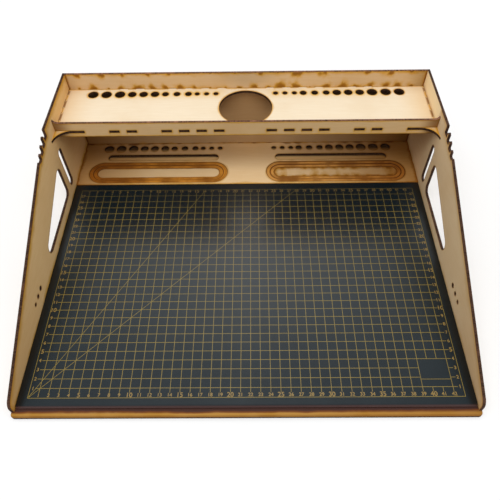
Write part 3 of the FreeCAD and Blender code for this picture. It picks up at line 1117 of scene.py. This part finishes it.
def grown(name, tree, **values):
    """Plain mesh of a Geometry Nodes tree with its inputs set by name."""
    host = added(name, bpy.data.meshes.new(name))
    modifier = host.modifiers.new(name, "NODES")
    modifier.node_group = tree
    sockets = {item.name: item.identifier for item in tree.interface.items_tree if item.in_out == "INPUT"}
    for key, value in values.items():
        modifier[sockets[labelled(key)]] = value
    depsgraph = bpy.context.evaluated_depsgraph_get()
    mesh = bpy.data.meshes.new_from_object(host.evaluated_get(depsgraph), depsgraph=depsgraph)
    mesh.name = name
    host.modifiers.remove(modifier)
    bpy.data.objects.remove(host)
    mesh.materials.clear()
    mesh.materials.append(values["ink"])
    mesh.polygons.foreach_set("material_index", [0] * len(mesh.polygons))
    return mesh


def moved_by(geometry, offset):
    """Geometry with its points moved."""
    return wired(geometry.tree, "GeometryNodeSetPosition", {"Geometry": geometry, "Offset": offset})


def realized(geometry):
    """Geometry with its instances made real."""
    return wired(geometry.tree, "GeometryNodeRealizeInstances", {"Geometry": geometry})


def inked(geometry, ink):
    """Geometry with its material set."""
    return wired(geometry.tree, "GeometryNodeSetMaterial", {"Geometry": geometry, "Material": ink})


def joined(first, second):
    """Two geometries as one."""
    both = node(first.tree, "GeometryNodeJoinGeometry")
    feed(both.inputs[0], first)
    feed(both.inputs[0], second)
    return Wire(both.outputs[0])


def ruled_grid_tree():
    """Tree: a thin bar for each edge of a grid, short beside the frame and left out of a bare place."""
    tree, given, out = new_group("ruled_grid", "GeometryNodeTree", {
        "columns": 43, "rows": 28, "cell": 10 * MM, "line_width": 0.4 * MM, "ink_thick": 0.02 * MM,
        "margin": 0.55, "bare_low": NOWHERE, "bare_high": NOWHERE, "middle": NOWHERE, "ink": None,
    }, ("Geometry",), "NodeSocketGeometry")
    columns, rows, cell, line_width, ink_thick, margin, bare_low, bare_high, middle, ink = given.values()
    wide, deep, half = columns * cell, rows * cell, cell * 0.5
    grid = wired(tree, "GeometryNodeMeshGrid", {
        "Size X": wide, "Size Y": deep, "Vertices X": columns + 1.0, "Vertices Y": rows + 1.0,
    }, "Mesh")
    x, y, _ = wired(tree, "GeometryNodeInputPosition").axes()
    low_x, low_y, _ = bare_low.axes()
    high_x, high_y, _ = bare_high.axes()
    drawn = (low_x > x) | (x > high_x) | (low_y > y) | (y > high_y)
    ends = node(tree, "GeometryNodeInputMeshEdgeVertices").outputs
    run = Wire(ends["Position 2"]).vector("SUBTRACT", Wire(ends["Position 1"]))
    across = abs(run.axes()[0]) > half
    lengthways = 1.0 - across

    def near_frame(value, size):
        return abs(value) > size * 0.5 - half - 0.01 * MM

    def off_frame(value, size):
        return abs(value) < size * 0.5 - half * 0.5

    side_end = across * near_frame(x, wide) * off_frame(y, deep)
    row_end = lengthways * near_frame(y, deep) * off_frame(x, wide)
    shift = margin * half * -1.0
    moved = combined(
        tree, X=side_end * x.reckon("SIGN") * shift, Y=row_end * y.reckon("SIGN") * shift
    )
    size = combined(tree, X=1.0 - (side_end | row_end) * margin, Y=1.0, Z=across * ACROSS_EXTRA + 1.0)
    kept = node(tree, "GeometryNodeCaptureAttribute", {"Geometry": grid}, domain="EDGE")
    for name, field in (("Run", run), ("Size", size), ("Moved", moved)):
        kept.capture_items.new("VECTOR", name)
        feed(kept.inputs[name], field)
    kept_run, kept_size, kept_move = (Wire(kept.outputs[name]) for name in ("Run", "Size", "Moved"))
    points = wired(tree, "GeometryNodeMeshToPoints", {
        "Mesh": Wire(kept.outputs["Geometry"]), "Selection": drawn,
    }, mode="EDGES")
    bar = wired(
        tree, "GeometryNodeMeshCube", {"Size": combined(tree, X=cell, Y=line_width, Z=ink_thick)}, "Mesh"
    )
    bars = wired(tree, "GeometryNodeInstanceOnPoints", {
        "Points": moved_by(points, kept_move), "Instance": bar, "Scale": kept_size,
        "Rotation": wired(tree, "FunctionNodeAlignRotationToVector", {"Vector": kept_run}, axis="X"),
    })
    placed = wired(tree, "GeometryNodeTransform", {"Geometry": realized(bars), "Translation": middle})
    feed(out["Geometry"], inked(placed, ink))
    return tree


def numeral_row_tree():
    """Tree: the numbers 1, 2, 3 and on along a straight line, every fifth one larger."""
    tree, given, out = new_group("numeral_row", "GeometryNodeTree", {
        "count": 10, "first": NOWHERE, "step": NOWHERE, "numeral": 3 * MM, "fifth_numeral": 4 * MM,
        "numeral_bold": 0.1 * MM, "ink_thick": 0.02 * MM, "ink": None,
    }, ("Geometry",), "NodeSocketGeometry")
    count, first, step, numeral, fifth_numeral, numeral_bold, ink_thick, ink = given.values()
    opened = node(tree, "GeometryNodeRepeatInput")
    closed = node(tree, "GeometryNodeRepeatOutput")
    opened.pair_with_output(closed)
    feed(opened.inputs["Iterations"], count)
    turn = Wire(opened.outputs["Iteration"])
    figure = turn + 1.0
    fifth = figure % 5.0 < 0.5
    written = wired(tree, "GeometryNodeStringToCurves", {
        "String": wired(tree, "FunctionNodeValueToString", {"Value": figure}),
        "Size": numeral + fifth * (fifth_numeral - numeral),
    }, align_x="CENTER", align_y="MIDDLE")
    aside = wired(tree, "GeometryNodeInputTangent").vector("CROSS_PRODUCT", (0, 0, 1))
    bold = moved_by(realized(written), aside.vector("SCALE", numeral_bold))
    moved = moved_by(bold, step.vector("SCALE", turn).vector("ADD", first))
    feed(closed.inputs["Geometry"], joined(moved, Wire(opened.outputs["Geometry"])))
    flat = wired(tree, "GeometryNodeFillCurve", {"Curve": Wire(closed.outputs["Geometry"])})
    filled = moved_by(flat, first.vector("MULTIPLY", (0, 0, 1)))
    raised = wired(tree, "GeometryNodeExtrudeMesh", {
        "Mesh": filled, "Offset": combined(tree, Z=1.0), "Offset Scale": ink_thick, "Individual": False,
    }, "Mesh")
    foot = wired(tree, "GeometryNodeFlipFaces", {"Mesh": filled})
    whole = wired(
        tree, "GeometryNodeMergeByDistance", {"Geometry": joined(raised, foot), "Distance": MERGE / 10}
    )
    feed(out["Geometry"], inked(realized(whole), ink))
    return tree


class WORKSTATION_OT_mat_print(bpy.types.Operator):
    """Print the mat's grid, numbers and angle lines"""

    bl_idname = "workstation.mat_print"
    bl_label = "Mat print"

    def execute(self, context):
        finish = context.scene.mat_finish
        ink = mat_ink("mat_ink", finish.ink)
        numeral_ink = mat_ink("mat_numeral_ink", finish.numeral_ink)
        columns, rows, cell, thick = finish.columns, finish.rows, finish.cell, finish.ink_thick
        corner = Vector((MAT_MIDDLE.x - columns * cell / 2, MAT_MIDDLE.y - rows * cell / 2, MAT_HIGH.z))
        right, back = Vector((cell, 0, 0)), Vector((0, cell, 0))

        def from_middle(column, row):
            return ((column - columns / 2) * cell, (row - rows / 2) * cell, 0)

        grid = grown(
            "mat_grid", ruled_grid_tree(), columns=columns, rows=rows, cell=cell,
            line_width=finish.line_width, ink_thick=thick, margin=SHORT_END,
            bare_low=from_middle(BARE_COLUMNS[0] + BARE_TRIM, BARE_ROWS[0] + BARE_TRIM),
            bare_high=from_middle(BARE_COLUMNS[1] - BARE_TRIM, BARE_ROWS[1] - BARE_TRIM),
            middle=(MAT_MIDDLE.x, MAT_MIDDLE.y, MAT_HIGH.z + thick * GRID_LIFT), ink=ink,
        )
        piece("mat_grid", grid, "mat", "mat")

        tree = numeral_row_tree()
        ahead, aside = NUMERAL_INSET, NUMERAL_INSET * 1.1
        for name, first, step, count in (
            ("front", corner + right + back * ahead, right, columns - 1),
            ("rear", corner + right + back * (rows - ahead), right, columns - 1),
            ("left", corner + back + right * aside, back, rows - 1),
            ("right", corner + back + right * (columns - aside), back, rows - 1),
        ):
            numerals = grown(
                "mat_numerals_" + name, tree, count=count, first=first, step=step, numeral=finish.numeral,
                fifth_numeral=finish.fifth_numeral, numeral_bold=finish.numeral_bold,
                ink_thick=thick * NUMERAL_RISE, ink=numeral_ink,
            )
            piece("mat_numerals_" + name, numerals, "mat", "mat")

        lines = bmesh.new()
        run_60 = rows / math.tan(math.radians(60))
        for start, end in (
            ((0, 0), (rows, rows)),
            ((0, 0), (run_60, rows)),
            ((BARE_COLUMNS[0], BARE_SILL), (BARE_COLUMNS[1], BARE_SILL)),
        ):
            a, b = (corner + right * column + back * row for column, row in (start, end))
            run = b - a
            turn = Matrix.Rotation(math.atan2(run.y, run.x), 4, "Z")
            size = Matrix.Diagonal((run.length, finish.line_width * ANGLE_SHARE, thick * ANGLE_SHARE, 1))
            middle = Matrix.Translation((a + b) / 2 + Vector((0, 0, thick * ANGLE_SHARE / 2)))
            bmesh.ops.create_cube(lines, size=1, matrix=middle @ turn @ size)
        piece("mat_angle_lines", plain_mesh("mat_angle_lines", lines, ink), "mat", "mat")
        return {"FINISHED"}


# Stage

FLOOR_HALF = 6.0


def seen_rays(tree):
    """1 on the rays that show a thing, straight or by way of metal and glass."""
    path = node(tree, "ShaderNodeLightPath").outputs
    return Wire(path["Is Camera Ray"]) | Wire(path["Is Glossy Ray"]) | Wire(path["Is Transmission Ray"])


def set_camera(scene, finish):
    """Stands the camera at the photograph's viewing angle."""
    yaw, pitch, roll = finish.camera_yaw, finish.camera_pitch, finish.camera_roll
    ahead = Vector((math.sin(yaw) * math.cos(pitch), math.cos(yaw) * math.cos(pitch), -math.sin(pitch)))
    right = Vector((math.cos(yaw), -math.sin(yaw), 0))
    up = right.cross(ahead)
    rolled_right = right * math.cos(roll) + up * math.sin(roll)
    rolled_up = up * math.cos(roll) - right * math.sin(roll)
    camera = bpy.data.cameras.new("camera")
    camera.sensor_width = 36
    camera.lens = finish.camera_lens
    camera.clip_start = 10 * MM
    stand = added("camera", camera)
    turned = Matrix((rolled_right, rolled_up, -ahead)).transposed().to_4x4()
    stand.matrix_world = Matrix.Translation(finish.camera_place) @ turned
    scene.camera = stand


def hang_lamp(finish):
    """Hangs the soft light, aimed at the middle of the object."""
    lamp = bpy.data.lights.new("overhead", "AREA")
    lamp.shape = "RECTANGLE"
    lamp.size = finish.lamp_width
    lamp.size_y = finish.lamp_depth
    lamp.energy = finish.lamp_power
    hung = added("overhead", lamp)
    hung.location = finish.lamp_place
    hung.rotation_euler = (-Vector(finish.lamp_place)).to_track_quat("-Z", "Y").to_euler()
    hung.visible_glossy = False


def light_room(scene, finish):
    """White all round, with softer light from the horizon than from overhead."""
    world = bpy.data.worlds.new("studio")
    world.use_nodes = True
    tree = world.node_tree
    background = tree.nodes["Background"]
    feed(background.inputs["Color"], (1, 1, 1, 1))
    height = wired(tree, "ShaderNodeTexCoord", output="Generated").axes()[2]
    shown = height.graded(0.8, 1.0, 1.0, finish.zenith)
    fill = height.graded(0.1, 0.55, finish.fill * finish.horizon, finish.fill)
    feed(background.inputs["Strength"], seen_rays(tree).graded(0.0, 1.0, fill, shown, "LINEAR"))
    scene.world = world


def lay_floor(finish):
    """Lays a floor that shows white and keeps the object's shadow."""
    material, shader, place = new_material("white_floor")
    tree = place.tree
    tree.nodes.remove(shader)
    plain = wired(tree, "ShaderNodeBsdfDiffuse", {"Color": (*finish.floor, 1)})
    answer = wired(tree, "ShaderNodeBsdfDiffuse", {"Color": (*(finish.floor_answer,) * 3, 1)})
    away = place.vector("DISTANCE", (0, BASE_LOW.y, 0))
    far = away.graded(0.0, finish.floor_spread, 0.0, finish.floor_far, "LINEAR")
    glow = wired(tree, "ShaderNodeEmission", {"Strength": far + finish.floor_glow})
    shown = wired(tree, "ShaderNodeAddShader", {0: answer, 1: glow})
    mixed = wired(tree, "ShaderNodeMixShader", {0: seen_rays(tree), 1: plain, 2: shown})
    feed(tree.nodes["Material Output"].inputs["Surface"], mixed)
    sheet = bmesh.new()
    bmesh.ops.create_grid(sheet, x_segments=1, y_segments=1, size=FLOOR_HALF)
    floor = added("floor", plain_mesh("floor", sheet, material))
    floor.location.z = CAD_BOX[0].z


class WORKSTATION_OT_stage(bpy.types.Operator):
    """Set the camera, the soft light and the white floor"""

    bl_idname = "workstation.stage"
    bl_label = "Stage"

    def execute(self, context):
        scene = context.scene
        scene.view_settings.view_transform = "Standard"
        set_camera(scene, scene.stage_finish)
        hang_lamp(scene.stage_finish)
        light_room(scene, scene.stage_finish)
        lay_floor(scene.stage_finish)
        return {"FINISHED"}


OPERATORS = (
    WORKSTATION_OT_stage,
    WORKSTATION_OT_base_board,
    WORKSTATION_OT_side_panels,
    WORKSTATION_OT_rear_panel,
    WORKSTATION_OT_rear_deck,
    WORKSTATION_OT_upper_shelf,
    WORKSTATION_OT_shelf_fascia,
    WORKSTATION_OT_cutting_mat,
    WORKSTATION_OT_mat_print,
)
SETTINGS = {"board_finish": BoardFinish, "mat_finish": MatFinish, "stage_finish": StageFinish}


class WORKSTATION_PT_sidebar(bpy.types.Panel):
    """Lists what can be built and the sizes and colours it is built with"""

    bl_idname = "WORKSTATION_PT_sidebar"
    bl_label = "Hobby workstation"
    bl_space_type = "VIEW_3D"
    bl_region_type = "UI"
    bl_category = "Workstation"

    def draw(self, context):
        for operator in OPERATORS:
            self.layout.operator(operator.bl_idname)
        for name, group in SETTINGS.items():
            box = self.layout.box()
            for key in group.__annotations__:
                box.prop(getattr(context.scene, name), key)


CLASSES = (*SETTINGS.values(), *OPERATORS, WORKSTATION_PT_sidebar)


def register():
    for cls in CLASSES:
        bpy.utils.register_class(cls)
    for name, group in SETTINGS.items():
        setattr(bpy.types.Scene, name, bpy.props.PointerProperty(type=group))


def unregister():
    for name in SETTINGS:
        delattr(bpy.types.Scene, name)
    for cls in reversed(CLASSES):
        bpy.utils.unregister_class(cls)


def main():
    register()
    for operator in OPERATORS:
        group, name = operator.bl_idname.split(".")
        getattr(getattr(bpy.ops, group), name)()


if __name__ == "__main__":
    main()
